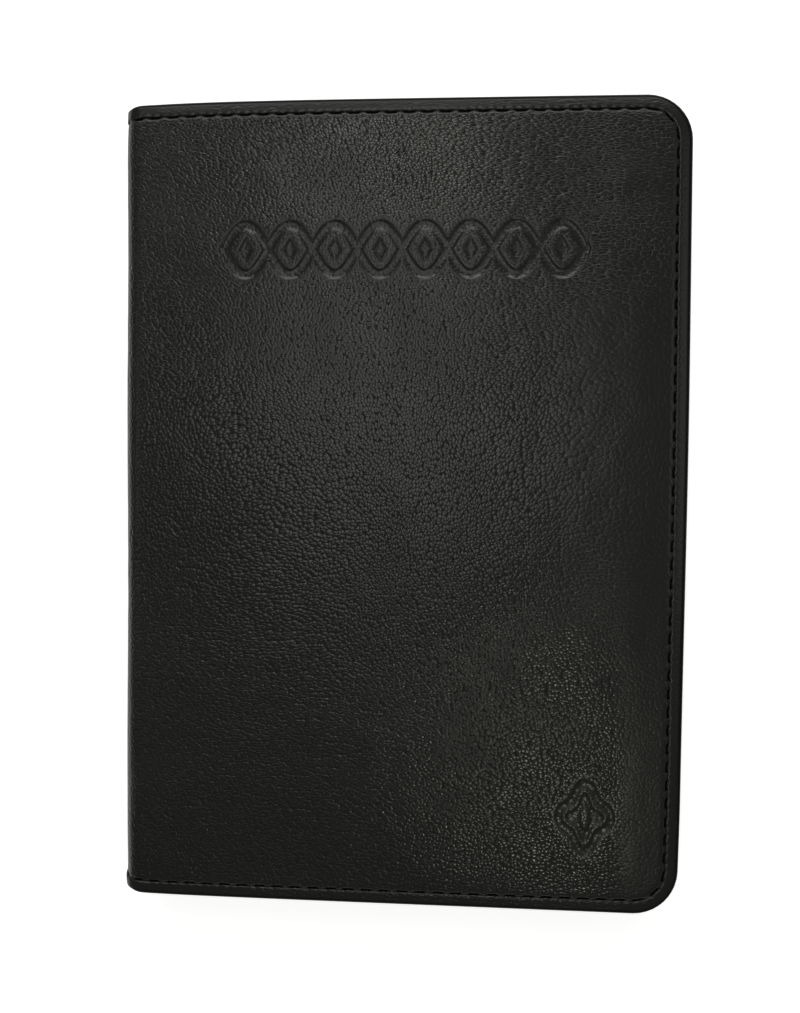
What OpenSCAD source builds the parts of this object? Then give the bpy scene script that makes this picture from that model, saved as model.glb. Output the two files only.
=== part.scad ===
// Leather passport holder: a book-fold cover with a turned and stitched edge, padded boards,
// a passport sleeve on each side and three stepped card pockets.
// Millimetres. The closed holder lies on its back cover: +Z is up out of the front cover,
// +Y runs along the spine to the head of the holder, and +X runs from the spine to the free edges.
// The origin is on the surface it lies on, under the middle of the cover.

/* [Cover] */
// Height of the cover, along the spine
cover_h = 146; // [140:0.5:152]
// Width of the closed cover, from the spine to the free edge
cover_w = 101.6; // [97:0.2:108]
// Thickness of the closed holder
cover_t = 14.5; // [14:0.1:18]
// Radius of the free corners
corner_r = 8; // [5:0.5:12]

/* [Leather and padding] */
// Thickness of the outer leather
leather_t = 0.9; // [0.8:0.05:1.1]
// How far the stitched rim lies below the padded field
rim_drop = 0.5; // [0.45:0.05:0.6]
// Width of the stitched rim
rim_w = 3.2; // [3:0.1:4]
// Thickness of the stiffener boards
board_t = 0.5; // [0.4:0.1:0.6]
// Thickness of the turned-in, skived hem
hem_t = 0.4; // [0.3:0.05:0.5]
// Width of the turned-in hem
hem_w = 9; // [7:0.5:12]
// Thickness of the lining
lining_t = 0.3; // [0.2:0.05:0.4]
// How far the lining and the pockets are set back from the edge
set_back = 1; // [0.9:0.1:1.5]

/* [Pockets] */
// Depth of the gap that a passport's cover slides into
sleeve_gap = 0.6; // [0.4:0.05:0.7]
// Thickness of the sleeve panels
sleeve_t = 0.6; // [0.5:0.05:0.7]
// Width of the sleeve inside the front cover
front_sleeve_w = 61; // [57:1:64]
// Width of the sleeve inside the back cover
back_sleeve_w = 56; // [45:1:64]
// Radius of the thumb notch in the back sleeve
notch_r = 11; // [6:1:14]
// Thickness of a card pocket's leather
pocket_t = 0.5; // [0.4:0.05:0.55]
// Width of the widest card pocket
pocket_w = 51; // [45:1:54]
// How much narrower each next card pocket is
pocket_step = 10; // [6:1:12]
// Distance between the two stitch rows that bound the card slots
slot_h = 94; // [89:1:110]

/* [Stitching] */
// Distance from one stitch to the next
stitch_pitch = 3.3; // [2.6:0.1:4]
// Length of the thread that shows in one stitch
stitch_len = 2.3; // [1.6:0.1:2.5]
// Radius of the thread
thread_r = 0.23; // [0.15:0.01:0.23]
// Distance from the edge to the stitch line
stitch_in = 2.6; // [2.4:0.1:2.7]

/* [Fold] */
// Distance of both fold axes from the outer faces
fold_in = 1.25; // [1.2:0.01:1.3]
// Running clearance round the rolled leather at a fold
fold_gap = 0.15; // [0.1:0.01:0.2]

/* [Hidden] */
$fn = 48;

// Colours
leather_c = [0.07, 0.07, 0.068];
pocket_c = [0.09, 0.088, 0.085];
lining_c = [0.12, 0.12, 0.125];
thread_c = [0.03, 0.03, 0.03];
foam_c = [0.75, 0.74, 0.7];
board_c = [0.62, 0.58, 0.5];

// Edges and fold axes
free_x = cover_w / 2;
spine_x = -cover_w / 2;
head_y = cover_h / 2;
fold_x = spine_x + fold_in;
roll_inset = 0.05;
roll_r = fold_in - roll_inset;
rim_roll_r = roll_r - rim_drop;
cut_r = roll_r + fold_gap;
inner_gap = 0.35;
inner_x = fold_x + roll_r + inner_gap;

// Depths below a cover's outer face, from the leather inwards
field_in = leather_t;
board_out = rim_drop + leather_t;
board_in = board_out + board_t;
hem_in = board_in + hem_t;
lining_in = hem_in + lining_t;
sleeve_out = lining_in + sleeve_gap;
sleeve_in = sleeve_out + sleeve_t;
foam_play = 0.2;
foam_inset = rim_w + leather_t + foam_play;

// Width of the sewn border of the sleeves and pockets, and how many card pockets there are
seam_w = 3.5;
card_pockets = 3;

// Overlap that joins the parts of one piece, and the least radius of an inset corner
bite = 0.5;
least_r = 0.5;

// Gap under a stitch, and how far a stitch stays from a pocket's edge
thread_gap = 0.02;
step_gap = 0.1;

// Depths into the spine, from its outer face inwards
spine_board_in = rim_drop + leather_t;
spine_hem_in = spine_board_in + hem_t;
spine_lining_in = spine_hem_in + lining_t;
spine_clear = fold_in + roll_r + fold_gap;

// Turns a side that was drawn with its outer face down into the front cover's place.
module on_front() {
    translate([0, 0, cover_t]) mirror([0, 0, 1]) children();
}

// Outline of a panel, from x0 to a line inset from the free edge, with the two free corners round.
module panel(x0, inset) {
    r = max(corner_r - inset, least_r);
    x1 = free_x - inset;
    y1 = head_y - inset;
    translate([x0, -y1]) square([x1 - r - x0, 2 * y1]);
    translate([x1 - r - bite, -y1 + r]) square([r + bite, 2 * (y1 - r)]);
    for (side = [-1, 1]) translate([x1 - r, side * (y1 - r)]) circle(r);
}

// A flat layer with a panel's outline, between two depths.
module plate(x0, inset, from, to) {
    translate([0, 0, from]) linear_extrude(to - from) panel(x0, inset);
}

// A band of width w that follows the head, free edge and tail of a panel, open at the spine.
module band(x0, inset, w, from, to) {
    translate([0, 0, from]) linear_extrude(to - from) difference() {
        panel(x0, inset);
        panel(x0 - 1, inset + w);
    }
}

// The room that the rolled leather of a fold turns in.
module fold_room() {
    translate([fold_x, 0, fold_in]) rotate([90, 0, 0])
        cylinder(r = cut_r, h = cover_h + 2, center = true);
}

// Outer leather of one side: padded field, dropped rim, wall round the board's edge and hem.
module cover_leather() {
    color(leather_c) difference() {
        union() {
            plate(fold_x, rim_w, 0, field_in);
            band(fold_x, 0, rim_w + leather_t, rim_drop, board_out);
            band(fold_x, 0, leather_t, rim_drop, hem_in);
            band(inner_x, 0, hem_w, board_in, hem_in);
        }
        fold_room();
    }
}

// Pad between the leather and the board, inside the seam.
module foam_pad() {
    color(foam_c) plate(inner_x, foam_inset, field_in, board_out);
}

// Board that keeps a cover flat.
module stiffener_board() {
    color(board_c) plate(inner_x, set_back, board_out, board_in);
}

// Lining sewn over the hem.
module lining() {
    color(lining_c) plate(inner_x, set_back, hem_in, lining_in);
}

// Sleeve for one of the passport's covers: sewn down on three sides, open towards the spine.
module passport_sleeve(w, notch) {
    x0 = free_x - set_back - w;
    color(pocket_c) difference() {
        union() {
            band(x0, set_back, seam_w, lining_in, sleeve_out);
            plate(x0, set_back, sleeve_out, sleeve_in);
        }
        if (notch) translate([x0, 0, 0]) cylinder(r = notch_r, h = sleeve_in + 1);
    }
}

// Card pocket i lies on the sleeve and on the wider pockets, and opens towards the spine.
module card_pocket(i) {
    x0 = free_x - set_back - pocket_w + i * pocket_step;
    from = sleeve_in + i * pocket_t;
    color(pocket_c) plate(x0, set_back, from, from + pocket_t);
}

// Innermost depth of the layers at x on the side with card pockets, or on the plain side.
function inner_depth(x, sleeve_w, pockets) =
    let (
        reach = free_x - set_back - x,
        on_pockets = len([for (i = [0:1:pockets - 1]) if (reach > 0 && reach < pocket_w - i * pocket_step) i])
    )
    reach < sleeve_w ? sleeve_in + on_pockets * pocket_t : lining_in;

// One stitch: a length of thread along a, centred on p.
module stitch(p, a) {
    translate(p) rotate([0, 90, a]) cylinder(r = thread_r, h = stitch_len, center = true, $fn = 16);
}

// Places of the stitches round a side, each [x, y, angle], from the tail's fold to the head's fold.
function seam_places() =
    let (
        r = corner_r - stitch_in,
        x1 = free_x - stitch_in,
        y1 = head_y - stitch_in,
        straight_x = x1 - r - inner_x,
        n_x = floor(straight_x / stitch_pitch),
        straight_y = 2 * (y1 - r),
        n_y = round(straight_y / stitch_pitch),
        n_c = max(1, round(r * PI / 2 / stitch_pitch))
    )
    concat(
        [for (s = [-1, 1], i = [0:n_x - 1]) [x1 - r - (i + 0.5) * stitch_pitch, s * y1, 0]],
        [for (i = [0:n_y - 1]) [x1, -straight_y / 2 + (i + 0.5) * straight_y / n_y, 90]],
        [for (s = [-1, 1], i = [0:n_c - 1]) let (a = (i + 0.5) * 90 / n_c)
            [x1 - r + r * cos(a), s * (y1 - r + r * sin(a)), s * (a + 90)]]
    );

// Thread that shows outside: it lies on the rim, against the step up to the padded field.
module edge_stitching() {
    color(thread_c) for (q = seam_places())
        stitch([q[0], q[1], rim_drop - thread_r - thread_gap], q[2]);
}

// Does a stitch at x along angle a keep clear of the steps where a pocket's edge crosses the seam?
function clear_of_steps(x, a, sleeve_w, pockets) =
    let (
        half = stitch_len / 2 * abs(cos(a)) + step_gap,
        steps = concat([sleeve_w], [for (i = [0:1:pockets - 1]) pocket_w - i * pocket_step])
    )
    len([for (w = steps) if (abs(free_x - set_back - w - x) < half) w]) == 0;

// Thread that shows inside, on whatever layer is innermost there.
module inner_stitching(sleeve_w, pockets) {
    color(thread_c) for (q = seam_places())
        if (clear_of_steps(q[0], q[2], sleeve_w, pockets))
            stitch([q[0], q[1], inner_depth(q[0], sleeve_w, pockets) + thread_r + thread_gap], q[2]);
}

module front_inner_stitching() {
    on_front() inner_stitching(front_sleeve_w, card_pockets);
}

module back_inner_stitching() {
    inner_stitching(back_sleeve_w, 0);
}

// Two rows across the card pockets that hold them down and bound the slots.
module card_pocket_stitching() {
    x1 = free_x - set_back - seam_w;
    n = floor((pocket_w - seam_w) / stitch_pitch);
    color(thread_c) for (s = [-1, 1], i = [0:n - 1]) {
        x = x1 - (i + 0.5) * stitch_pitch;
        depth = inner_depth(x, front_sleeve_w, card_pockets) + thread_r + thread_gap;
        if (clear_of_steps(x, 0, front_sleeve_w, card_pockets))
            stitch([x, s * slot_h / 2, depth], 0);
    }
}

// A box in the spine, by its depth range from the outer face and its reach either side in Y and Z.
module spine_slab(d0, d1, y0, y1, z0) {
    translate([spine_x + d0, y0, z0]) cube([d1 - d0, y1 - y0, cover_t - 2 * z0]);
}

// Rolls of leather that turn in the covers' fold rooms, one on each fold axis.
module fold_rolls(r, y0, y1) {
    for (z = [fold_in, cover_t - fold_in])
        translate([fold_x, y1, z]) rotate([90, 0, 0]) cylinder(r = r, h = y1 - y0);
}

// Outer leather of the spine: padded field, dropped rim at head and tail, and hems.
module spine_leather() {
    y_field = head_y - rim_w;
    color(leather_c) {
        spine_slab(0, leather_t, -y_field, y_field, fold_in);
        fold_rolls(roll_r, -y_field, y_field);
        for (s = [0, 1]) mirror([0, s, 0]) {
            spine_slab(rim_drop, rim_drop + leather_t, y_field - bite, head_y, fold_in);
            fold_rolls(rim_roll_r, y_field - bite, head_y);
            spine_slab(rim_drop, spine_hem_in, head_y - leather_t, head_y, spine_clear);
            spine_slab(spine_board_in, spine_hem_in, head_y - hem_w, head_y - bite, spine_clear);
        }
    }
}

// Strip that keeps the spine square.
module spine_reinforcement() {
    y1 = head_y - foam_inset;
    color(board_c) spine_slab(leather_t, spine_board_in, -y1, y1, spine_clear);
}

// Lining of the spine, over its hems.
module spine_lining() {
    y1 = head_y - set_back;
    color(lining_c) spine_slab(spine_hem_in, spine_lining_in, -y1, y1, spine_clear);
}

// Stitches across the spine's head and tail, at a depth into the spine.
module spine_stitches(depth) {
    run = cover_t - 2 * spine_clear;
    n = floor(run / stitch_pitch);
    color(thread_c) for (s = [-1, 1], i = [0:n - 1])
        translate([spine_x + depth, s * (head_y - stitch_in), spine_clear + (i + 0.5) * run / n])
            cylinder(r = thread_r, h = stitch_len, center = true, $fn = 16);
}

module spine_edge_stitching() {
    spine_stitches(rim_drop - thread_r - thread_gap);
}

module spine_inner_stitching() {
    spine_stitches(spine_lining_in + thread_r + thread_gap);
}

on_front() cover_leather();  // front_cover_leather
on_front() foam_pad();  // front_foam_pad
on_front() stiffener_board();  // front_stiffener_board
on_front() lining();  // front_lining
on_front() passport_sleeve(front_sleeve_w, false);  // front_passport_sleeve
on_front() card_pocket(0);  // card_pocket_wide
on_front() card_pocket(1);  // card_pocket_middle
on_front() card_pocket(2);  // card_pocket_narrow
on_front() card_pocket_stitching();
on_front() edge_stitching();  // front_edge_stitching
front_inner_stitching();
spine_leather();
spine_reinforcement();
spine_lining();
spine_edge_stitching();
spine_inner_stitching();
cover_leather();  // back_cover_leather
foam_pad();  // back_foam_pad
stiffener_board();  // back_stiffener_board
lining();  // back_lining
passport_sleeve(back_sleeve_w, true);  // back_passport_sleeve
edge_stitching();  // back_edge_stitching
back_inner_stitching();
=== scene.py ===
import math

import bpy
import numpy as np
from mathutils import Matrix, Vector


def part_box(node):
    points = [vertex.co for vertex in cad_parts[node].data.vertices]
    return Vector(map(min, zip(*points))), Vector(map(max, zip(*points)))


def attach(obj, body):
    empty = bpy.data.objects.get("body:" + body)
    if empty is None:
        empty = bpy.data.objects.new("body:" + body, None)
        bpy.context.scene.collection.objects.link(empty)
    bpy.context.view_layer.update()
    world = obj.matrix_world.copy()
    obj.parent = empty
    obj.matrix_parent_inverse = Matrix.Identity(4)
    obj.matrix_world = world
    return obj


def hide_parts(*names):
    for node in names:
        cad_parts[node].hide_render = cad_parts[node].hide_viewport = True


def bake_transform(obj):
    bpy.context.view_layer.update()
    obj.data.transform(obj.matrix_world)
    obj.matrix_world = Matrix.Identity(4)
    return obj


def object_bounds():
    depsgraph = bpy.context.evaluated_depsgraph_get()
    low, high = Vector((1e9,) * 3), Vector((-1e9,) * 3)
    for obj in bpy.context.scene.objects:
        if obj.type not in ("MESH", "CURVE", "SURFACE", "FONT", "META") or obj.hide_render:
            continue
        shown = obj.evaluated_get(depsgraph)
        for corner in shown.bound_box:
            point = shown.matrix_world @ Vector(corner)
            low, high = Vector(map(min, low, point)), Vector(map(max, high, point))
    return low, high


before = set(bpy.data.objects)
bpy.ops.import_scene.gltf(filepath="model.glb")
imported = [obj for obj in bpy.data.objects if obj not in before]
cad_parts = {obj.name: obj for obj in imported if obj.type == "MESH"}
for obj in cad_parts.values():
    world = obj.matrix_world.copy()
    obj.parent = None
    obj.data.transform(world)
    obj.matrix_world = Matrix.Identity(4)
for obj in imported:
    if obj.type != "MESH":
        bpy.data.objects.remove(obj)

# A leather passport holder, closed, seen from above its front cover.
#
# Lengths are in millimetres until a mesh is made. The soft pieces are laid out unrolled, in three
# coordinates: s runs over the outer face from the middle of the spine to the free edge, y runs
# along the spine, and h is the height above the cover's outer face, negative towards the inside.
# wrap() then rolls them round the fold into the row frame.

MM = 0.001
FRONT, BACK = 1, -1

# ---------------------------------------------------------------- sizes from the frame
cad_low, cad_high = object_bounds()


def node_box(node):
    """Lowest and highest corner of a CAD node, in millimetres."""
    low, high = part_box(node)
    return np.array(low) / MM, np.array(high) / MM


half_w = cad_high.x / MM
half_h = cad_high.y / MM
thick = cad_high.z / MM
half_t = thick / 2

fold_r = 3.0          # outer radius of the leather round a fold
corner_r = 8.0        # radius of the free corners
spine_s = half_t - fold_r                 # where the fold starts
flat_s = spine_s + fold_r * math.pi / 2   # where the cover's flat starts
end_s = flat_s + 2 * half_w - fold_r      # the free edge
x_to_s = end_s - half_w                   # s = x + x_to_s on the flat of a cover

lining_low, lining_high = node_box("front_lining")
sleeve_low, sleeve_high = node_box("front_passport_sleeve")
hem_h = lining_high[2] - thick            # inner face of the hem
lining_h = lining_low[2] - thick          # inner face of the lining
set_back = half_w - lining_high[0]        # the lining's distance from the edge
sleeve_t = 0.6        # thickness of a passport sleeve
sleeve_puff = sleeve_high[2] - sleeve_low[2] - sleeve_t   # how far its middle stands clear
pocket_t = 0.5        # thickness of a card pocket
notch_r = 11.0        # radius of the thumb notch in the back sleeve
pad_t = 0.4           # thickness of a foam pad
pad_h = -1.38         # its inner face
pad_in = 4.4          # its distance from the edge
pad_from = 3.2        # where it starts, measured from the fold's side of the cover

seam_in = 2.6         # the seam's distance from the edge
crest_in = 2.42       # the rim's highest line, just outside the seam
crest_h = -0.38       # its height
roll_r = 0.84         # radius of the rolled edge
roll_start = math.radians(20)             # the slope at which the rim turns into the roll
rim_in = roll_r * (1 - math.sin(roll_start))
rim_h = hem_h + roll_r * (1 + math.cos(roll_start))
hem_w = 7.2           # the turned-in hem reaches this far in from the edge
hem_t = 0.34          # its thickness
seam_dip = 0.6        # how deep the seam pulls in between two stitches
stitch_pitch = 3.3
stitch_len = 1.5
half_stitch = stitch_len / 2
thread_r = 0.2
thread_over = 0.1     # the thread dives in this far past each end of its stitch
ring_in = 4.3         # the finely meshed border of the leather reaches this far in from the edge


# ---------------------------------------------------------------- small helpers
def smooth(t):
    """0 below 0, 1 above 1, and an even S between."""
    t = np.clip(t, 0, 1)
    return t * t * (3 - 2 * t)


def lines(start, end, coarse, fine=()):
    """Grid lines from start to end. fine holds (from, to, step) stretches that need a closer step."""
    marks = {start, end}
    for low, high, _ in fine:
        marks |= {min(max(low, start), end), min(max(high, start), end)}
    marks = sorted(marks)
    out = [np.array([start])]
    for a, b in zip(marks, marks[1:]):
        steps = [step for low, high, step in fine if low <= (a + b) / 2 <= high]
        count = max(1, round((b - a) / min(steps + [coarse])))
        out.append(a + (b - a) * np.arange(1, count + 1) / count)
    return np.concatenate(out)


def waves(s, y, length, height, seed, count=14):
    """A gentle random relief: cosines of about one wavelength in random directions."""
    rng = np.random.default_rng(seed)
    total = np.zeros_like(s)
    for _ in range(count):
        turn, phase = rng.uniform(0, 2 * math.pi, 2)
        k = 2 * math.pi / (length * rng.uniform(0.7, 1.4))
        total += np.cos(k * (s * math.cos(turn) + y * math.sin(turn)) + phase)
    return total * height / math.sqrt(count)


# The skin is drawn in at the ends of the spine, by pairs of (how far, how quickly it fades past the fold)
HEAD_DRAWS = [(1.0, 13), (0.5, 1.8)]
TAIL_DRAWS = [(0.3, 9), (1.5, 1.8)]
bow_out = 0.3         # how far the free edge bows out a little above its middle
bow_in = 0.25         # how far it is drawn in at the tail


def drawn_in(past, draws):
    """How far the skin is drawn in, at a distance past the start of the fold."""
    return sum(far * np.exp(-past / fade) for far, fade in draws)


def settle(s, y):
    """Where a point really lies: the skin is drawn in a little at the ends of the spine, and the free
    edge is not quite straight."""
    past = np.maximum(s - spine_s, 0)
    head = smooth((y - half_h + 30) / 30) * drawn_in(past, HEAD_DRAWS)
    tail = smooth((-y - half_h + 18) / 18) * drawn_in(past, TAIL_DRAWS)
    bow = bow_out * np.exp(-((y - 12) / 40) ** 2) - bow_in * smooth((-y - half_h + 22) / 22)
    return s + bow * smooth((s - end_s + 40) / 40), y - head + tail


def wrap(s, y, h, side):
    """Rolls unrolled points round the fold, as points in the row frame."""
    s, y = settle(s, y)
    turn = np.clip((s - spine_s) / fold_r, 0, math.pi / 2)
    x = fold_r - half_w - (fold_r + h) * np.cos(turn) + np.maximum(s - flat_s, 0)
    z = np.minimum(s, spine_s) + (fold_r + h) * np.sin(turn)
    return np.stack([x, y, half_t + side * z], axis=-1)


def edge_distance(s, y, radius=corner_r):
    """Distance in from the cover's outline, which has round corners at the free edge."""
    across = s - (end_s - radius)
    along = np.abs(y) - (half_h - radius)
    in_corner = (across > 0) & (along > 0)
    straight = np.minimum(end_s - s, half_h - np.abs(y))
    return np.where(in_corner, radius - np.hypot(across, along), straight)


def add_mesh(name, points, faces, material, grain=None, extra=None):
    """A smooth-shaded mesh from points in millimetres. grain is each point's place on the flat hide, and
    in its third column how much the grain is pressed smooth there, from 0 to 1. extra holds more values
    for each point, by name."""
    mesh = bpy.data.meshes.new(name)
    mesh.from_pydata((np.asarray(points) * MM).tolist(), [], faces)
    mesh.polygons.foreach_set("use_smooth", np.ones(len(mesh.polygons), bool))
    if grain is not None:
        flat = np.zeros((len(points), 3), np.float32)
        flat[:, :grain.shape[1]] = grain
        mesh.attributes.new("grain", "FLOAT_VECTOR", "POINT").data.foreach_set("vector", flat.ravel())
    for key, values in (extra or {}).items():
        mesh.attributes.new(key, "FLOAT", "POINT").data.foreach_set("value", values.astype(np.float32))
    mesh.materials.append(material)
    piece = bpy.data.objects.new(name, mesh)
    bpy.context.scene.collection.objects.link(piece)
    return piece


def turned(faces, side):
    """The back side is a mirror image, so its faces are listed the other way round."""
    return faces if side == FRONT else [face[::-1] for face in faces]


def grid_faces(columns, rows):
    """Faces of a grid whose points are numbered row by row."""
    i, j = np.meshgrid(np.arange(columns - 1), np.arange(rows - 1))
    a = (j * columns + i).ravel()
    return np.stack([a, a + 1, a + columns + 1, a + columns], 1).tolist()


def border(columns, rows, closed):
    """Numbers of a grid's border points, counter-clockwise from the tail's spine end."""
    tail = list(range(columns))
    free = [j * columns + columns - 1 for j in range(1, rows)]
    head = [(rows - 1) * columns + i for i in range(columns - 2, -1, -1)]
    spine = [j * columns for j in range(rows - 2, 0, -1)] if closed else []
    return tail + free + head + spine


def round_corners(s, y, inset):
    """Moves the points of a rectangular grid near the free corners, so that its border is round."""
    size = corner_r + 3.0
    radius = corner_r - inset
    a = (s - (end_s - inset - size)) / size
    b = (np.abs(y) - (half_h - inset - size)) / size
    ring = np.maximum(np.maximum(a, b), 1e-9)
    share = np.where(a >= b, b / ring / 2, 1 - a / ring / 2)
    straight, arc = size - radius, radius * math.pi / 2
    run = share * (2 * straight + arc)
    turn = np.clip((run - straight) / radius, 0, math.pi / 2)
    px = size - radius * (1 - np.cos(turn)) - np.maximum(run - straight - arc, 0)
    py = np.minimum(run, straight) + radius * np.sin(turn)
    inside = (a > 0) & (b > 0)
    s_new = end_s - inset - size + ring * px
    y_new = np.sign(y) * (half_h - inset - size + ring * py)
    return np.where(inside, s_new, s), np.where(inside, y_new, y)


def outward(s, y):
    """The outline's outward direction at points on or near the border."""
    across = s - (end_s - corner_r)
    along = np.abs(y) - (half_h - corner_r)
    length = np.maximum(np.hypot(across, along), 1e-9)
    in_corner = (across > 0) & (along > 0)
    at_free = (end_s - s) < (half_h - np.abs(y))
    ns = np.where(in_corner, across / length, np.where(at_free, 1.0, 0.0))
    ny = np.where(in_corner, along / length, np.where(at_free, 0.0, 1.0))
    return ns, ny * np.sign(y)


# ---------------------------------------------------------------- materials
class Nodes:
    """Builds a node tree: each method adds one node and returns its output."""

    def __init__(self, name):
        self.material = bpy.data.materials.new(name)
        self.material.use_nodes = True
        self.tree = self.material.node_tree
        self.shader = self.tree.nodes["Principled BSDF"]

    def add(self, kind, inputs=None, output=0, **settings):
        node = self.tree.nodes.new(kind)
        for key, value in settings.items():
            setattr(node, key, value)
        for key, value in (inputs or {}).items():
            self.feed(node.inputs[key], value)
        return node.outputs[output]

    def feed(self, socket, value):
        if isinstance(value, bpy.types.NodeSocket):
            self.tree.links.new(value, socket)
        else:
            socket.default_value = value

    def math(self, operation, a, b=0.0):
        return self.add("ShaderNodeMath", {0: a, 1: b}, operation=operation)

    def remap(self, value, low, high, out_low=0.0, out_high=1.0):
        inputs = {"Value": value, "From Min": low, "From Max": high}
        inputs |= {"To Min": out_low, "To Max": out_high}
        return self.add("ShaderNodeMapRange", inputs, interpolation_type="SMOOTHSTEP")

    def attribute(self, name, output="Fac"):
        return self.add("ShaderNodeAttribute", attribute_name=name, output=output)

    def noise(self, place, scale, detail=1.0, output=0):
        return self.add("ShaderNodeTexNoise", {"Vector": place, "Scale": scale, "Detail": detail}, output)

    def bump(self, height, depth, strength=1.0, **more):
        """A bump that is depth millimetres high where height is 1."""
        inputs = {"Strength": strength, "Distance": depth * MM, "Height": height, **more}
        return self.add("ShaderNodeBump", inputs)

    def split(self, vector):
        """The three parts of a vector."""
        node = self.tree.nodes.new("ShaderNodeSeparateXYZ")
        self.feed(node.inputs[0], vector)
        return node.outputs

    def colours(self, factor, low, high):
        mix = self.tree.nodes.new("ShaderNodeMix")
        mix.data_type = "RGBA"
        self.feed(mix.inputs["Factor"], factor)
        self.feed(mix.inputs["A"], (*low, 1))
        self.feed(mix.inputs["B"], (*high, 1))
        return mix.outputs["Result"]

    def set(self, **values):
        for key, value in values.items():
            self.feed(self.shader.inputs[key.replace("_", " ")], value)


# The grain of the leather. Heights are shares of the grain's depth, and distances shares of a cell
crack_w = 0.12            # width of the cracks between the tops
pit_reach = (0.6, 0.88)   # the pits where tops meet start and end this far from a top's middle
dome_drop = 1.15          # how much a top falls away from its middle
crack_drop = 0.25         # how deep the cracks are
pit_drop = 0.25           # how deep the pits are
tilt_rise = 0.55          # how much some tops stand higher than others
pore_rise = 0.025         # height of the finest wrinkles
crack_shade = 0.35         # how much painted shade darkens the cracks, from 0 for the light colour to 1 for the dark one
pit_shade = 0.22           # how much painted shade darkens the pits


def leather_material(name, cell, depth, dark, light, gloss, edge=0.0):
    """Pebbled leather: tops of about cell millimetres between narrow cracks, with finer wrinkles on them,
    pulled about so that the cells are longer in some places than in others. The colour and the reflection
    are painted darker in the cracks and pits, as shade. gloss is the roughness of the tops, and edge the
    height of the walls that pressed lines get in the bump, for leather that has them; such leather also has
    its reflection turned down as painted shade at its edges."""
    n = Nodes(name)
    across, along, calm = n.split(n.attribute("grain", "Vector"))
    place = n.add("ShaderNodeCombineXYZ", {0: across, 1: along})

    def pulled(vector, scale, reach):
        """Moves each place about by up to half of reach, over distances of about 1 / scale."""
        noise = n.noise(place, scale, output="Color")
        shift = n.add("ShaderNodeVectorMath", {0: noise, 1: (0.5, 0.5, 0.5)}, operation="SUBTRACT")
        inputs = {0: shift, 1: (reach, reach, 0.0), 2: vector}
        return n.add("ShaderNodeVectorMath", inputs, operation="MULTIPLY_ADD")

    def gaps(vector, size, feature="DISTANCE_TO_EDGE"):
        inputs = {"Vector": vector, "Scale": 1 / size, "Randomness": 1.0}
        return n.add("ShaderNodeTexVoronoi", inputs, voronoi_dimensions="2D", feature=feature)

    bent = pulled(pulled(place, 0.9, 0.4), 0.05, 5.0)
    crack = n.remap(gaps(bent, cell), 0.0, crack_w)
    middle = gaps(bent, cell, "F1")
    pit = n.remap(middle, *pit_reach)
    dome = n.math("MULTIPLY", n.math("MULTIPLY", middle, middle), -dome_drop)
    tops = n.math("ADD", dome, n.math("MULTIPLY", crack, crack_drop))
    tops = n.math("SUBTRACT", tops, n.math("MULTIPLY", pit, pit_drop))
    tilt = n.math("MULTIPLY", n.noise(place, 0.75), tilt_rise)
    pores = n.math("MULTIPLY", n.noise(place, 5.0, 2.0), pore_rise)
    total = n.math("ADD", tops, n.math("ADD", tilt, pores))
    patches = n.remap(n.noise(place, 0.04, 2.0), 0.35, 0.6, 0.8, 1.0)
    rough = n.math("SUBTRACT", 1.0, calm)
    bump = n.bump(total, depth, n.math("MULTIPLY", rough, patches))
    # Painted shade at the edges: the reflection is turned down on the spine and the rolled edge.
    painted_edge_shade = 0.0
    if edge:
        wall = n.remap(n.attribute("pressed"), -0.35, 0.3)
        bump = n.bump(wall, edge, Normal=bump)
        painted_edge_shade = n.attribute("painted_edge_shade")
    # Painted shade: the base colour goes towards the dark colour, and the reflection down, in the cracks and
    # pits, less where the grain is pressed smooth.
    low = n.math("ADD", n.remap(crack, 0.0, 1.0, crack_shade, 0.0), n.math("MULTIPLY", pit, pit_shade))
    low = n.add("ShaderNodeMath", {0: low, 1: rough}, operation="MULTIPLY", use_clamp=True)
    shine = n.math("MULTIPLY", n.remap(low, 0.0, 1.0, 0.5, 0.05), n.math("SUBTRACT", 1.0, painted_edge_shade))
    matt = n.remap(low, 0.0, 1.0, gloss, gloss + 0.3)
    matt = n.math("ADD", matt, n.math("MULTIPLY", calm, 0.1))
    n.set(Base_Color=n.colours(low, light, dark), Normal=bump, Roughness=matt, Specular_IOR_Level=shine)
    return n.material


def cloth_material(name, pitch, dark, light):
    """Plain weave: warp and weft of one pitch, crossing in a checker, with the colour painted darker between
    the yarns as shade.
    """
    n = Nodes(name)
    across, along, _ = n.split(n.attribute("grain", "Vector"))
    waves_u, waves_v = (n.math("SINE", n.math("MULTIPLY", way, math.pi / pitch)) for way in (across, along))
    mix = n.tree.nodes.new("ShaderNodeMix")
    n.feed(mix.inputs["Factor"], n.remap(n.math("MULTIPLY", waves_u, waves_v), -0.15, 0.15))
    n.feed(mix.inputs["A"], n.math("ABSOLUTE", waves_u))
    n.feed(mix.inputs["B"], n.math("ABSOLUTE", waves_v))
    yarn = mix.outputs["Result"]
    # Painted shade: the colour is darker where the yarns dip between each other.
    n.set(Base_Color=n.colours(yarn, dark, light), Normal=n.bump(yarn, 0.08), Roughness=0.8)
    n.set(Sheen_Weight=0.25)
    return n.material


def grainy_material(name, scale, depth, dark, light, rough, shine=0.5):
    """A plain material with a fine random surface, for thread, foam and board."""
    n = Nodes(name)
    noise = n.noise(n.add("ShaderNodeTexCoord", output="Object"), scale, 4.0)
    n.set(Base_Color=n.colours(n.remap(noise, 0.3, 0.7), dark, light), Normal=n.bump(noise, depth))
    n.set(Roughness=rough, Specular_IOR_Level=shine)
    return n.material


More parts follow.
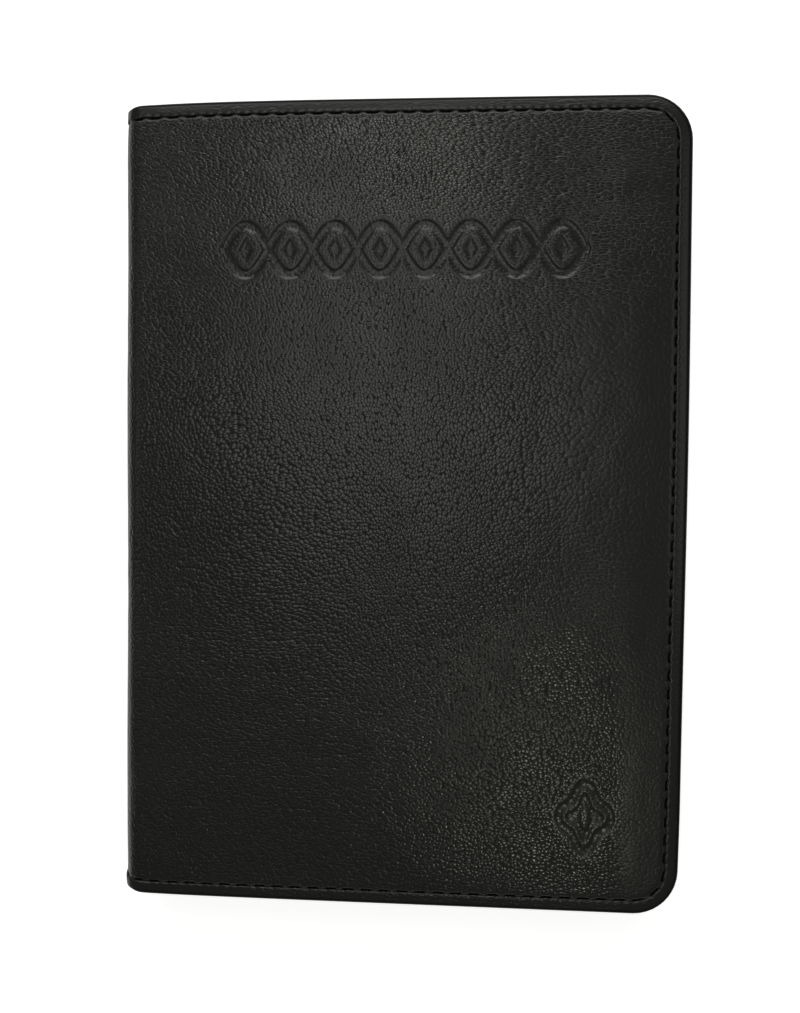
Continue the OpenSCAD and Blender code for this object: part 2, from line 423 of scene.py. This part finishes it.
outer_leather = leather_material(
    "outer_leather", cell=0.61, depth=0.058,
    dark=(0.0025, 0.0025, 0.0023), light=(0.0085, 0.0085, 0.0078), gloss=0.16, edge=0.15)
inner_leather = leather_material(
    "inner_leather", cell=0.6, depth=0.05,
    dark=(0.011, 0.011, 0.0105), light=(0.024, 0.0235, 0.0225), gloss=0.48)
lining_cloth = cloth_material(
    "lining_cloth", pitch=0.32, dark=(0.008, 0.008, 0.009), light=(0.028, 0.028, 0.03))
# The thread is black; its reflection is also turned low, as painted shade of the slit that it lies in.
thread = grainy_material(
    "thread", scale=9000, depth=0.02, dark=(0.001, 0.001, 0.001), light=(0.003, 0.003, 0.003),
    rough=0.8, shine=0.1)
foam = grainy_material(
    "foam", scale=2500, depth=0.2, dark=(0.5, 0.49, 0.45), light=(0.75, 0.74, 0.7), rough=0.9)
board = grainy_material(
    "board", scale=1200, depth=0.05, dark=(0.4, 0.35, 0.27), light=(0.6, 0.54, 0.44), rough=0.85)


# ---------------------------------------------------------------- pressed ornaments
press = 0.1           # depth of the pressed ornaments
band_y = 46.0         # middle of the band: two waves that cross, with a seed in each eye between them
band_eyes = 8
band_pitch = 8.1      # length of one eye
band_reach = 4.4      # how far the waves swing to each side
band_seed = (1.15, 2.0)   # half width and half length of a seed, which is a diamond
stroke = 1.5          # width of the pressed lines
mark_at = (33.8, -55.4)
mark_r = (4.3, 0.7)   # mean radius of the four-leaved mark, and how much its leaves stand out
mark_long = 1.3       # the mark is this much longer than wide
mark_line = (0.3, 0.5)    # how far in the middle of its outline lies, and half the outline's width
mark_field = 1.7      # the pressed field inside the outline starts this far in
mark_seed = (0.9, 1.9)    # half width and half length of the oval seed in its middle
far_off = 9.0         # stands for a place that is far from any pressed line


def oval_gap(x, y, half_width, half_length):
    """About the distance outside an oval, negative inside it."""
    return (np.hypot(x / half_width, y / half_length) - 1) * min(half_width, half_length)


def band_gap(x, y):
    """Distance outside the band's pressed lines."""
    half = band_eyes * band_pitch / 2
    turn = (np.clip(x, -half, half) + half) * math.pi / band_pitch
    past = x - np.clip(x, -half, half)
    v = y - band_y
    swing, slope = band_reach * np.sin(turn), band_reach * math.pi / band_pitch * np.cos(turn)
    across = np.minimum(np.abs(v - swing), np.abs(v + swing)) / np.hypot(1, np.where(past == 0, slope, 0))
    waves_gap = np.hypot(across, past) - stroke / 2
    eye = (x + half) % band_pitch - band_pitch / 2 + past * far_off
    seed = (np.abs(eye) / band_seed[0] + np.abs(v) / band_seed[1] - 1) * 0.95
    return np.minimum(waves_gap, seed)


def mark_gap(x, y):
    """Distance outside the four-leaved mark's pressed lines: an outline, and a field with a seed left
    standing in it."""
    u, v = x - mark_at[0], (y - mark_at[1]) / mark_long
    turn = np.arctan2(v, u)
    slope = 4 * mark_r[1] * np.sin(4 * turn) / mark_r[0]
    outline = (np.hypot(u, v) - mark_r[0] - mark_r[1] * np.cos(4 * turn)) / np.hypot(1, slope)
    seed = oval_gap(u, v, *mark_seed)
    line = np.abs(outline + mark_line[0]) - mark_line[1]
    return np.minimum(line, np.maximum(outline + mark_field, -seed))


def ornament_gap(x, y):
    """Distance outside any pressed line on the front cover."""
    gap = np.full_like(x, far_off)
    band = np.abs(y - band_y) < 9
    gap[band] = band_gap(x[band], y[band])
    mark = np.hypot(x - mark_at[0], y - mark_at[1]) < 12
    gap[mark] = mark_gap(x[mark], y[mark])
    return gap


# ---------------------------------------------------------------- seams
def seam_point(run, inset):
    """Place and direction on the seam of one side, at a run along it from the spine's middle at the tail."""
    radius = corner_r - inset
    tail = end_s - corner_r
    arc = radius * math.pi / 2
    up = 2 * (half_h - corner_r)
    low_y = inset - half_h
    turn = np.clip((run - tail) / radius, 0, math.pi / 2)
    turn = turn + np.clip((run - tail - arc - up) / radius, 0, math.pi / 2)
    s = np.minimum(run, tail) + radius * np.sin(turn)
    s = s - np.maximum(run - tail - 2 * arc - up, 0)
    first = np.minimum(turn, math.pi / 2)
    second = np.maximum(turn - math.pi / 2, 0)
    y = low_y + radius * (1 - np.cos(first)) + np.clip(run - tail - arc, 0, up) + radius * np.sin(second)
    return s, y, turn


def seam_length(inset):
    return 2 * (end_s - corner_r) + (corner_r - inset) * math.pi + 2 * (half_h - corner_r)


def seam_stitches():
    """Middle and direction of every stitch on one side's seam."""
    total = seam_length(seam_in)
    count = round(total / stitch_pitch)
    return seam_point((np.arange(count) + 0.5) * total / count, seam_in)


stitch_step = seam_length(seam_in) / round(seam_length(seam_in) / stitch_pitch)
slit = (0.34, 0.18)   # depth and reach of the slit that a stitch lies in
hole = (0.12, 0.45)   # depth and reach of a needle hole's pull


def stitch_offset(s, y):
    """Distance along the seam from the middle of the nearest stitch, for points near the seam."""
    across, along = s - (end_s - corner_r), np.abs(y) - (half_h - corner_r)
    turn = np.arctan2(np.maximum(across, 0), np.maximum(along, 0))
    run = np.minimum(s, end_s - corner_r) + (corner_r - seam_in) * turn + np.maximum(-along, 0)
    return np.abs(run / stitch_step % 1 - 0.5) * stitch_step


def stitch_dips(s, y, d):
    """How far the stitches pull the leather in: a slit along each, deepest at its two needle holes."""
    u = stitch_offset(s, y)
    to_slit = np.hypot(np.maximum(u - half_stitch, 0), d - seam_in)
    to_hole = np.hypot(u - half_stitch - thread_over, d - seam_in)
    return slit[0] * np.exp(-((to_slit / slit[1]) ** 2)) + hole[0] * np.exp(-((to_hole / hole[1]) ** 2))


# ---------------------------------------------------------------- outer leather
scallop_r = 0.09      # how far the seam's valley swings in and out from stitch to stitch
broad_waves = (42.0, 0.07)    # length and height of the padded field's broad waves
fine_waves = (7.0, 0.012)     # and of its fine ones
crown_h = 0.3         # how far the padding lifts the middle of the front cover
corner_fall = 0.16    # how far the front cover falls away towards the tail's free corner
back_fall = 0.2       # how much flatter the padding of the back cover is


def rim_share(s):
    """How far the rim stands below the field: fully on a cover, and hardly at all round the spine."""
    return 0.15 + 0.85 * smooth((s - spine_s) / 9)


def edge_relief(s, d):
    """Height at distance d from the edge: the rim sloping up to its crest, the sharp valley of the seam,
    and the padded field rising from it."""
    share = rim_share(s)
    valley = seam_dip * (0.35 + 0.65 * smooth((s - spine_s) / 6))
    fall = np.clip((crest_in - d) / (crest_in - rim_in), 0, 1)
    rim = share * (crest_h - (crest_h - rim_h) * fall ** 1.15)
    into = np.clip((d - crest_in) / (seam_in - crest_in), 0, 1)
    outside = rim - (valley + share * crest_h) * into
    past = np.maximum(d - seam_in, 0)
    inside = -(valley - 0.2) * np.exp(-past / 0.16) - 0.2 * np.exp(-past / 4.5)
    return np.where(d < seam_in, outside, inside)


def near_tail(y):
    """0 from the head to a little past the middle, and 1 near the tail."""
    return smooth((-y - 12) / 20)


def relief(s, y, side):
    """Height of the outer face: rim, seam and padded field, and the ornaments on the front."""
    d = edge_distance(s, y)
    near = np.exp(-(((d - seam_in) / 0.7) ** 2))
    scallop = scallop_r * np.cos(2 * math.pi * stitch_offset(s, y) / stitch_step) * near
    h = edge_relief(s, d - scallop) - stitch_dips(s, y, d - scallop)
    field = smooth((d - 2.0) / 8.0)
    h += field * (waves(s, y, *broad_waves, 3 + side) + waves(s, y, *fine_waves, 7 + side))
    on_spine = 1 - smooth((s - spine_s) / 4)
    h += on_spine * (0.2 + 0.25 * np.exp(-((y + half_h - 1.4) / 1.8) ** 2))
    if side == FRONT:
        x = s - x_to_s
        crown = np.cos(np.clip(x / half_w, -1, 1) * math.pi / 2) * np.cos(y / half_h * math.pi / 2)
        h += crown_h * field * crown
        h -= corner_fall * smooth((x - 33) / 14) * near_tail(y)
        h -= press * (1 - smooth((ornament_gap(x, y) + 0.6) / 1.1))
    else:
        h -= field * back_fall
    return h


def pressed_smooth(s, y, side):
    """How much the grain is pressed smooth: on the rim and by the seam, less so towards the tail. On the
    front also between the middle and the free edge, in a strip along that edge that narrows towards the
    tail, and in and round the ornaments."""
    d = edge_distance(s, y)
    calm = 0.75 * (1 - smooth((d - 2.2) / 1.2))
    calm = calm * (1 - 0.6 * smooth((-y - 10) / 25) * smooth((s - flat_s) / 20))
    if side == FRONT:
        x = s - x_to_s
        beside = 0.6 * smooth((x - 20) / 16) * (1 - smooth((np.abs(y - 8) - 24) / 14))
        narrower = 9 * near_tail(y)
        strip = (0.75 - 0.3 * smooth((y - 25) / 20)) * smooth((x - 28 - narrower) / (14 - narrower))
        by_line = 0.55 * (1 - smooth((ornament_gap(x, y) - 0.3) / 0.9))
        calm = np.maximum.reduce([calm, beside, strip, by_line])
    return calm


def edge_profile():
    """(distance in from the edge, height) of the leather from the rim round its rolled edge, along the
    hem, and back inside it to the pad."""
    turns = roll_start + (math.pi - roll_start) * np.arange(1, 11) / 10
    rolled = [(roll_r - roll_r * math.sin(t), hem_h + roll_r + roll_r * math.cos(t)) for t in turns]
    hem = [(1.8, hem_h), (2.6, hem_h - 0.03), (4.5, hem_h), (hem_w, hem_h), (hem_w + 0.25, hem_h + 0.15)]
    inside = [(d, hem_h + hem_t) for d in (hem_w, 4.0, 1.6)]
    inner_roll = [(1.0, hem_h + 0.42), (0.85, hem_h + 0.6), (1.1, hem_h + 0.8), (2.6, hem_h + 0.93)]
    to_pad = [(4.4, -1.2), (6.5, -0.95)]
    return rolled + hem + inside + inner_roll + to_pad


# Where the hide is stretched: middle, reach, direction of the long way, and how many cells there are
# along and across it for one elsewhere
STRETCHES = [
    ((-34, 58), 42, -38, 0.72, 1.35),
    ((34, 60), 42, -3, 0.6, 1.45),
    ((6, 4), 26, 0, 1.15, 0.95),
    ((-26, -34), 34, 6, 0.75, 1.25),
]
# And everywhere: the place on the hide changes by these shares of the place on the cover, so that the
# cells are wider along s and shorter along y
whole_stretch = (-0.14, 0.08)


def hide_place(s, y):
    """A point's place on the hide before it was stretched, which makes its cells longer one way."""
    x = s - x_to_s
    to_s, to_y = whole_stretch[0] * x, whole_stretch[1] * y
    for (cx, cy), reach, angle, along, across in STRETCHES:
        tx, ty = math.cos(math.radians(angle)), math.sin(math.radians(angle))
        u, v = (x - cx) * tx + (y - cy) * ty, (y - cy) * tx - (x - cx) * ty
        weight = np.exp(-(u * u + v * v) / reach ** 2)
        du, dv = (along - 1) * u * weight, (across - 1) * v * weight
        to_s, to_y = to_s + du * tx - dv * ty, to_y + du * ty + dv * tx
    return s + to_s, y + to_y


def zip_faces(a, b, at_a, at_b):
    """Triangles between two rows of points a and b, whose places along the border are at_a and at_b."""
    faces, i, j = [], 0, 0
    while i < len(a) - 1 or j < len(b) - 1:
        if j == len(b) - 1 or (i < len(a) - 1 and at_a[i + 1] < at_b[j + 1]):
            faces.append([b[j], a[i + 1], a[i]])
            i += 1
        else:
            faces.append([b[j], b[j + 1], a[i]])
            j += 1
    return faces


# Distances in from the edge of the rows of points along the border, closest in the seam's valley
RING_ROWS = [
    *np.linspace(ring_in, 3.2, 4), 3.0, 2.86, 2.76, 2.68, 2.62, 2.56, 2.5,
    crest_in + 0.02, crest_in, crest_in - 0.03, 2.2,
    *np.linspace(1.95, rim_in, 5),
]
roll_thin = 3         # the rolled edge and the hem have one point for so many on the border
edge_shade_most = 0.9       # how far the reflection is turned down at the edges, as painted shade
pressed_far = 2.0     # distances outside and inside pressed lines are kept up to this


def share_along(s, y):
    """How far along a row each of its points lies, from 0 to 1."""
    run = np.cumsum(np.hypot(np.diff(s, prepend=s[0]), np.diff(y, prepend=y[0])))
    return run / run[-1]


def border_rows(per_stitch):
    """The rows of points along the border, from the field outwards, and their outward direction."""
    run = np.arange(round(seam_length(seam_in) / stitch_step) * per_stitch + 1) * stitch_step / per_stitch
    s, y, turn = seam_point(run, seam_in)
    ns, ny = np.sin(turn), -np.cos(turn)
    return [(s + ns * (seam_in - d), y + ny * (seam_in - d)) for d in RING_ROWS], ns, ny


def rolled_rows(s, y, ns, ny, side):
    """The points of the rolled edge and the hem, row by row from the rim at s and y, and their places on
    the hide."""
    points, hide = [], []
    lift = (rim_share(s) * rim_h - hem_h) / (rim_h - hem_h)
    hs, hy = hide_place(s, y)
    at, length = (rim_in, rim_h), 0.0
    for d, height in edge_profile():
        length += math.hypot(d - at[0], height - at[1])
        at = (d, height)
        level = hem_h + (height - hem_h) * (lift if length < math.pi * roll_r + 0.1 else 1.0)
        points.append(wrap(s + ns * (rim_in - d), y + ny * (rim_in - d), level + 0 * s, side))
        hide.append(np.stack([hs + ns * length, hy + ny * length, np.full_like(s, 0.5)], 1))
    return points, hide


def row_faces(before, now):
    """Faces between two rows of points. now has as many as before, or one for every roll_thin."""
    thin = 1 if len(before) == len(now) else roll_thin
    around = [before[step:len(before) - thin + step:thin] for step in range(thin, -1, -1)]
    return np.stack([now[:-1], now[1:], *around], 1).tolist()


def closing_faces(row, s):
    """Faces that close the leather inside: across the fold between its two ends, and one over the rest."""
    last = len(s) - 1
    turned_over = int(np.searchsorted(s, flat_s + 0.5))
    faces = [[row[last - i], row[last - i - 1], row[i + 1], row[i]] for i in range(turned_over)]
    return faces + [row[turned_over:last - turned_over + 1][::-1]]


def leather(name, side, fine_s, fine_y, coarse, per_stitch=12):
    """Outer leather of one side, from the middle of the spine round the fold to the free edge: a grid for
    the field, then rows along the border with per_stitch points to a stitch, then the rolled edge. Each
    point also holds its distance outside the pressed lines, and how far its reflection is turned down as
    painted shade: fully on the spine and at the rolled edge."""
    inset = ring_in + 0.35
    fine_s = [*fine_s, (end_s - 8, end_s, 0.5), (0, flat_s + 2, 0.45)]
    columns = lines(0, end_s - inset, coarse, fine_s)
    rows = lines(inset - half_h, half_h - inset, coarse, fine_y)
    gs, gy = (grid.ravel() for grid in round_corners(*np.meshgrid(columns, rows), inset))
    edge = np.array(border(len(columns), len(rows), closed=False))

    flat_rows, ns, ny = border_rows(per_stitch)
    s, y = (np.concatenate(parts) for parts in zip((gs, gy), *flat_rows))
    es, ey, ns, ny = (row[::roll_thin] for row in (*flat_rows[-1], ns, ny))
    rolled, rolled_hide = rolled_rows(es, ey, ns, ny, side)
    points = [wrap(s, y, relief(s, y, side), side), *rolled]
    hide = [np.stack([*hide_place(s, y), pressed_smooth(s, y, side)], 1), *rolled_hide]

    count = len(gs)
    before = np.arange(count, count + len(flat_rows[0][0]))
    faces = grid_faces(len(columns), len(rows))
    faces += zip_faces(edge, before, share_along(gs[edge], gy[edge]), share_along(*flat_rows[0]))
    for row in [*(row_s for row_s, _ in flat_rows[1:]), *rolled]:
        count = before[-1] + 1
        now = np.arange(count, count + len(row))
        faces += row_faces(before, now)
        before = now
    faces += closing_faces(before, es)
    faces = [[int(v) for v in face] for face in faces]

    count = before[-1] + 1
    pressed, painted_edge_shade = np.full(count, pressed_far), np.full(count, edge_shade_most)
    if side == FRONT:
        least = np.where(y > 0, -pressed_far, -0.05)
        pressed[:len(s)] = np.clip(ornament_gap(s - x_to_s, y), least, pressed_far)
    # Painted shade: the reflection is turned down on the spine's fold and at the rolled edge.
    on_fold = 1 - smooth((s - spine_s - 1.2) / 1.6)
    painted_edge_shade[:len(s)] = edge_shade_most * np.maximum(on_fold, 1 - smooth((edge_distance(s, y) - rim_in) / 0.4))
    return add_mesh(name, np.concatenate(points), turned(faces, side), outer_leather, np.concatenate(hide),
                    {"pressed": pressed, "painted_edge_shade": painted_edge_shade})


# ---------------------------------------------------------------- flat layers inside
def ring(before, now):
    """Faces between two closed loops."""
    return np.stack([now, np.roll(now, -1), np.roll(before, -1), before], 1).tolist()


def layer(name, side, start, inset, inner, thickness, material, step=1.2, notch=0.0):
    """A layer from start to the free edge, set in by inset. inner(s, y) is the height of the face that
    shows when the holder is open. notch is the radius of a thumb notch in the edge at start."""
    bead = thickness / 2
    end, reach = end_s - inset - bead, half_h - inset - bead
    columns = lines(start + bead, end, step, [(start, start + 3, 0.35), (end_s - 8, end_s, 0.5)])
    rows = lines(-reach, reach, step, [(-half_h, -half_h + 8, 0.5), (half_h - 8, half_h, 0.5)])
    s, y = round_corners(*np.meshgrid(columns, rows), inset + bead)
    if notch:
        lip = np.sqrt(np.maximum((notch + bead) ** 2 - y ** 2, 0))
        share = np.clip((end_s - 9 - s) / (end_s - 9 - start), 0, 1)
        s = s + lip * share
    s, y = s.ravel(), y.ravel()
    edge = np.array(border(len(columns), len(rows), closed=True))
    es, ey = s[edge], y[edge]
    ns, ny = outward(es, ey)
    at_start = np.arange(len(edge)) >= len(edge) - (len(rows) - 2)
    ns, ny = np.where(at_start, -1.0, ns), np.where(at_start, 0.0, ny)
    low = inner(s, y)
    count = len(s)
    points = [wrap(s, y, low + thickness, side), wrap(s, y, low, side)]
    hide = [np.stack([s, y], 1)] * 2
    faces = grid_faces(len(columns), len(rows))
    faces += [[v + count for v in face[::-1]] for face in faces]
    before, total = edge, 2 * count
    for turn in np.arange(1, 4) * math.pi / 4:
        out = bead * math.sin(turn)
        height = inner(es, ey) + bead + bead * math.cos(turn)
        points.append(wrap(es + ns * out, ey + ny * out, height, side))
        hide.append(np.stack([es + ns * bead * turn, ey + ny * bead * turn], 1))
        now = np.arange(total, total + len(edge))
        faces += ring(before, now)
        before, total = now, total + len(edge)
    faces += ring(before, edge + count)
    faces = [[int(v) for v in face] for face in faces]
    return add_mesh(name, np.concatenate(points), turned(faces, side), material, np.concatenate(hide))


# ---------------------------------------------------------------- stitches
def stitch_mesh(name, side, places, surface, lift=0.05, slant=0.1):
    """Stitches as short lengths of plied thread. places holds s, y and direction of each; surface(s, y) is
    the height that the thread lies on, and lift is positive outside and negative inside."""
    sides, rings = 10, 11
    along = np.linspace(-1, 1, rings)
    round_it = np.arange(sides) * 2 * math.pi / sides
    points, hide, faces = [], [], []
    count = 0
    for s, y, turn in zip(*places):
        turn = turn + slant
        ds, dy = math.cos(turn), math.sin(turn)
        a = along * (half_stitch + thread_over)
        cs, cy = s + a * ds, y + a * dy
        arch = lift * (1 - np.abs(along) ** 4 * 3.2)
        middle = surface(cs, cy) + arch
        taper = thread_r * (1 - 0.45 * np.abs(along) ** 6)
        for k in range(rings):
            ply = taper[k] * (1 + 0.1 * np.cos(2 * round_it + 2.4 * a[k] * math.pi))
            ps = cs[k] - dy * ply * np.cos(round_it)
            py = cy[k] + ds * ply * np.cos(round_it)
            ph = middle[k] + ply * np.sin(round_it)
            points.append(wrap(ps, py, ph, side))
            hide.append(np.stack([ps, py], 1))
        for k in range(rings - 1):
            a0 = count + k * sides + np.arange(sides)
            a1 = np.roll(a0, -1)
            faces += np.stack([a0, a0 + sides, a1 + sides, a1], 1).tolist()
        faces.append([count + k for k in range(sides)])
        faces.append([count + (rings - 1) * sides + k for k in range(sides)][::-1])
        count += rings * sides
    return add_mesh(name, np.concatenate(points), turned(faces, side), thread, np.concatenate(hide))


# ---------------------------------------------------------------- the object
SIDES = {"front": (FRONT, "front_cover"), "back": (BACK, "back_cover")}


def bend(piece, side):
    """Bakes a piece's placement into its mesh, the same way for either side; the piece is not bent here."""
    if side == FRONT:
        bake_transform(piece)
    else:
        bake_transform(piece)


def level_face(depth):
    """Height of a flat inner face."""
    return lambda s, y: np.full_like(s, depth)


def over_seam(depth):
    """Height of a sleeve or pocket whose sewn border is at depth and whose middle stands clear."""
    def height(s, y):
        d = edge_distance(s, y)
        return depth - sleeve_puff * smooth((d - 3.0) / 5.0)
    return height


# The grid is finer where the band and the mark are: (from, to, step)
front_fine_s = [(x_to_s - 33.5, x_to_s + 33.5, 0.32), (x_to_s + 28, x_to_s + 40, 0.32)]
front_fine_y = [(40.5, 51.5, 0.29), (-63, -48, 0.32)]
skins = {
    "front": leather("front_leather", FRONT, front_fine_s, front_fine_y, coarse=0.95),
    "back": leather("back_leather", BACK, [], [], coarse=1.2),
}

for name, (side, body) in SIDES.items():
    skin = skins[name]
    bend(skin, side)
    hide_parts(f"{name}_cover_leather", "spine_leather")

    pad = layer(f"{name}_pad", side, x_to_s - half_w + pad_from, pad_in, level_face(pad_h), pad_t, foam)
    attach(pad, body)
    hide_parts(f"{name}_foam_pad")

    lining = layer(
        f"{name}_lining_cloth", side, 0.0, set_back, level_face(lining_h), hem_h - lining_h, lining_cloth)
    bend(lining, side)
    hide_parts(f"{name}_lining", "spine_lining")

    edge = stitch_mesh(f"{name}_edge_stitches", side, seam_stitches(), lambda s, y: relief(s, y, side))
    bend(edge, side)
    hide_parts(f"{name}_edge_stitching", "spine_edge_stitching")

POCKETS = ["card_pocket_wide", "card_pocket_middle", "card_pocket_narrow"]


def panel(name, node, side, body, depth, thickness, notch=0.0):
    """A sleeve or pocket: a leather panel sewn down on three sides."""
    low, high = node_box(node)
    start = low[0] + x_to_s
    piece = layer(name, side, start, set_back, over_seam(depth), thickness, inner_leather, notch=notch)
    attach(piece, body)
    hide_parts(node)
    return start


starts = {FRONT: [], BACK: []}    # where each panel of a side starts, and its depth, from the lining inwards
base = lining_h - sleeve_t
for name, (side, body) in SIDES.items():
    notch = notch_r if side == BACK else 0.0
    start = panel(f"{name}_sleeve", f"{name}_passport_sleeve", side, body, base, sleeve_t, notch)
    starts[side].append((start, base))
for i, node in enumerate(POCKETS):
    depth = base - pocket_t * (i + 1)
    start = panel(node + "_leather", node, FRONT, "front_cover", depth, pocket_t)
    starts[FRONT].append((start, depth))


def inner_surface(side):
    """Height of whichever layer is innermost."""
    def height(s, y):
        top = np.full_like(s, lining_h)
        for start, depth in starts[side]:
            top = np.where(s > start, over_seam(depth)(s, y), top)
        return top
    return height


# Inside, the thread lies the other way: it sinks in and slants back
inner_look = {"lift": -0.1, "slant": -0.14}
for name, (side, body) in SIDES.items():
    inner = stitch_mesh(
        f"{name}_inner_stitches", side, seam_stitches(), inner_surface(side), **inner_look)
    bend(inner, side)
    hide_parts(f"{name}_inner_stitching", "spine_inner_stitching")

# The two rows of stitches that bound the card slots
rows_low, rows_high = node_box("card_pocket_stitching")
row_y = rows_high[1] - thread_r
count = round((rows_high[0] - rows_low[0]) / stitch_pitch)
row_s = rows_high[0] + x_to_s - (np.arange(count) + 0.35) * stitch_pitch
row_places = (np.tile(row_s, 2), np.repeat([-row_y, row_y], count), np.zeros(2 * count))
rows = stitch_mesh("card_row_stitches", FRONT, row_places, inner_surface(FRONT), **inner_look)
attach(rows, "front_cover")
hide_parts("card_pocket_stitching")

for node in ("front_stiffener_board", "back_stiffener_board", "spine_reinforcement"):
    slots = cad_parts[node].data.materials
    slots.clear()
    slots.append(board)


# ---------------------------------------------------------------- floor, light, camera
def floor():
    """A wide pale floor that the holder lies on."""
    n = Nodes("pale_floor")
    noise = n.add("ShaderNodeTexNoise", {"Scale": 3.0, "Detail": 3.0})
    n.set(Base_Color=n.colours(noise, (0.93, 0.93, 0.93), (0.96, 0.96, 0.96)), Roughness=0.9)
    n.set(Emission_Color=(1, 1, 1, 1), Emission_Strength=0.74)
    size = 20000.0
    points = [(-size, -size, -0.05), (size, -size, -0.05), (size, size, -0.05), (-size, size, -0.05)]
    piece = add_mesh("floor", points, [[0, 1, 2, 3]], n.material)


def softbox(name, place, target, size, brightness, colour):
    """A rectangular soft light at place, turned to target, in millimetres. brightness is its radiance."""
    data = bpy.data.lights.new(name, "AREA")
    data.shape = "RECTANGLE"
    data.size, data.size_y = size[0] * MM, size[1] * MM
    data.energy = brightness * math.pi * data.size * data.size_y
    data.color = colour
    lamp = bpy.data.objects.new(name, data)
    lamp.location = [c * MM for c in place]
    lamp.rotation_euler = (Vector(place) - Vector(target)).to_track_quat("Z", "Y").to_euler()
    bpy.context.scene.collection.objects.link(lamp)


def camera():
    """The camera looks down on the front cover, a little from the head and the free edge."""
    data = bpy.data.cameras.new("camera")
    data.lens = 45
    data.sensor_width = 36
    piece = bpy.data.objects.new("camera", data)
    piece.location = np.array([19.7, 9.9, 241.3]) * MM
    piece.rotation_euler = [math.radians(a) for a in (-2.43, 4.99, 0.55)]
    bpy.context.scene.collection.objects.link(piece)
    bpy.context.scene.camera = piece


def studio():
    """A faint even light from everywhere, and colours shown as they are."""
    world = bpy.data.worlds.new("studio")
    world.use_nodes = True
    background = world.node_tree.nodes["Background"]
    background.inputs["Color"].default_value = (1, 1, 1, 1)
    background.inputs["Strength"].default_value = 0.16
    bpy.context.scene.world = world
    bpy.context.scene.view_settings.view_transform = "Standard"


warm = (1.0, 1.0, 0.93)
# Name, place, target, size, brightness and colour of each soft light
LIGHTS = [
    ("broad_light", (-48, 41, 515), (-20, 20, 0), (165, 190), 1.45, warm),
    ("head_light", (-46, 240, 515), (0, 60, 0), (100, 84), 4.8, warm),
    ("tail_light", (52, -186, 515), (30, -50, 0), (28, 32), 25.0, (1.0, 1.0, 0.8)),
    ("key_light", (-60, 800, 500), (0, 0, 0), (1000, 560), 1.0, warm),
    ("wall_light", (-40, 640, 500), (0, 40, 0), (700, 160), 3.1, warm),
    ("right_light", (400, 60, 520), (0, 0, 0), (300, 300), 0.5, warm),
    ("left_light", (-450, 0, 520), (0, 0, 0), (250, 300), 0.4, warm),
    ("front_light", (100, -850, 300), (0, 0, 0), (600, 300), 0.3, warm),
]

floor()
camera()
studio()
for light in LIGHTS:
    softbox(*light)
